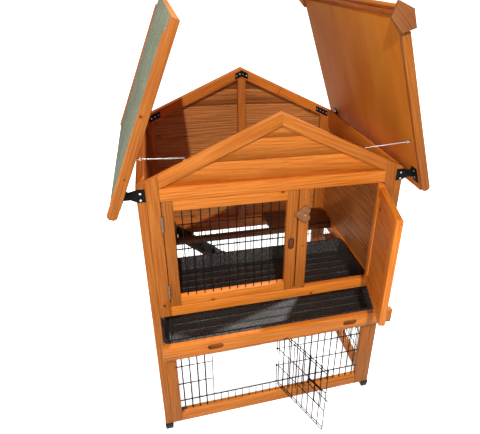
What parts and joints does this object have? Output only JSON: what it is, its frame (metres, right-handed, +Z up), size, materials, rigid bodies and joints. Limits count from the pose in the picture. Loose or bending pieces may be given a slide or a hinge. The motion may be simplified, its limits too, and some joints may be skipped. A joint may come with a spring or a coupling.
{
  "type": "rabbit hutch",
  "caption": "Two-storey wooden rabbit hutch with gabled opening roofs on stay hooks, a pull-out tray, a mesh door and a boarded door above a wire run with a hatch and a ramp.",
  "frame": {"origin": "on the ground under the middle of the case, halfway between its feet", "axes": "+X to the viewer's right along the front, +Y from the front to the back, +Z up"},
  "size_m": [0.9233, 0.9608, 1.42],
  "materials": {
    "stained_fir": "orange stained and varnished fir, satin",
    "roof_felt": "mineral-surfaced green-grey roofing felt",
    "tray_plastic": "textured black moulded plastic",
    "black_steel": "black powder coat",
    "zinc_steel": "dull zinc plate",
    "black_wire": "black coated welded wire",
    "plain_wood": "pale sanded wood, lightly stained",
    "felted_ramp": "dark stained boards",
    "foot_plastic": "black plastic"
  },
  "bodies": {
    "case": {"left_side_posts": "stained_fir", "right_side_posts": "stained_fir", "left_side_rails": "stained_fir", "right_side_rails": "stained_fir", "left_side_boards": "stained_fir", "right_side_boards": "stained_fir", "left_side_mesh": "black_wire", "right_side_mesh": "black_wire", "back_stiles": "stained_fir", "back_rails": "stained_fir", "back_rakes": "stained_fir", "back_boards": "stained_fir", "back_mesh": "black_wire", "corner_brackets": "black_steel", "front_stiles": "stained_fir", "front_rails": "stained_fir", "front_mullion": "stained_fir", "gable_rakes": "stained_fir", "gable_boards": "stained_fir", "run_front_stiles": "stained_fir", "run_front_rails": "stained_fir", "run_front_mesh": "black_wire", "floor_beams": "stained_fir", "rear_floor": "stained_fir", "tray_runners": "stained_fir", "feet": "foot_plastic", "roof_hinge_plates": "black_steel", "door_hinge_leaves": "zinc_steel", "gable_eyes": "zinc_steel", "button_screw": "zinc_steel", "ramp_hinge_plate": "zinc_steel"},
    "left_roof": {"left_roof_panel": "stained_fir", "left_roof_felt": "roof_felt", "left_roof_barges": "stained_fir", "left_roof_hinges": "black_steel", "left_roof_eye": "zinc_steel"},
    "right_roof": {"right_roof_panel": "stained_fir", "right_roof_felt": "roof_felt", "right_roof_barges": "stained_fir", "right_roof_hinges": "black_steel", "right_roof_eye": "zinc_steel", "ridge_boards": "stained_fir", "ridge_end_caps": "stained_fir"},
    "left_door": {"left_door_frame": "stained_fir", "left_door_mesh": "black_wire", "left_door_hinges": "zinc_steel"},
    "right_door": {"right_door_frame": "stained_fir", "right_door_boards": "stained_fir", "right_door_hinges": "zinc_steel"},
    "turn_button": {"turn_button": "plain_wood"},
    "tray": {"tray_front_rail": "stained_fir", "tray_pan": "tray_plastic"},
    "wire_door": {"wire_door": "black_wire", "wire_door_rings": "black_wire"},
    "wire_bolt": {"wire_bolt": "black_wire"},
    "left_stay": {"left_stay_hook": "zinc_steel"},
    "right_stay": {"right_stay_hook": "zinc_steel"},
    "ramp": {"ramp_board": "felted_ramp", "ramp_cleats": "felted_ramp", "ramp_hinge": "zinc_steel"}
  },
  "joints": [
    {"name": "left_roof_hinge", "type": "hinge", "parent": "case", "child": "left_roof", "pos_m": [-0.413, 0, 0.93469], "axis": [0, -1, 0], "range_deg": [-43, 0]},
    {"name": "right_roof_hinge", "type": "hinge", "parent": "case", "child": "right_roof", "pos_m": [0.413, 0, 0.93469], "axis": [0, 1, 0], "range_deg": [-46.2, 0]},
    {"name": "left_stay_swing", "type": "hinge", "parent": "left_roof", "child": "left_stay", "pos_m": [-0.36761, -0.33, 1.04147], "axis": [0.8731, -0.4022, 0.2755], "range_deg": [0, 113.5]},
    {"name": "right_stay_swing", "type": "hinge", "parent": "right_roof", "child": "right_stay", "pos_m": [0.37364, -0.33, 1.04384], "axis": [0.8564, 0.4022, -0.3238], "range_deg": [0, 113.5]},
    {"name": "left_door_hinge", "type": "hinge", "parent": "case", "child": "left_door", "pos_m": [-0.331, -0.3133, 0.728], "axis": [0, 0, 1], "range_deg": [-110, 0]},
    {"name": "turn_button_pivot", "type": "hinge", "parent": "case", "child": "turn_button", "pos_m": [0.077, -0.3155, 0.8285], "axis": [0, 1, 0], "range_deg": [0, 90.1]},
    {"name": "right_door_hinge", "type": "hinge", "parent": "case", "child": "right_door", "pos_m": [0.331, -0.3133, 0.728], "axis": [0, 0, 1], "range_deg": [-76, 34]},
    {"name": "tray_slide", "type": "slide", "parent": "case", "child": "tray", "axis": [0, 1, 0], "range_m": [-0.15, 0.118]},
    {"name": "wire_door_hinge", "type": "hinge", "parent": "case", "child": "wire_door", "pos_m": [0.0127, -0.30125, 0.243], "axis": [0, 0, 1], "range_deg": [-114, 16]},
    {"name": "wire_bolt_slide", "type": "slide", "parent": "wire_door", "child": "wire_bolt", "axis": [0.4067, -0.9135, 0], "range_m": [-0.025, 0]},
    {"name": "ramp_hinge", "type": "hinge", "parent": "case", "child": "ramp", "pos_m": [-0.278, 0.2224, 0.497], "axis": [0, -1, 0], "range_deg": [0, 6]}
  ],
  "couplings": [
    {"joint": "left_stay_swing", "follows": "left_roof_hinge", "ratio": -2.6372},
    {"joint": "right_stay_swing", "follows": "right_roof_hinge", "ratio": -2.4545},
    {"joint": "turn_button_pivot", "follows": "left_door_hinge", "ratio": -0.81818}
  ]
}
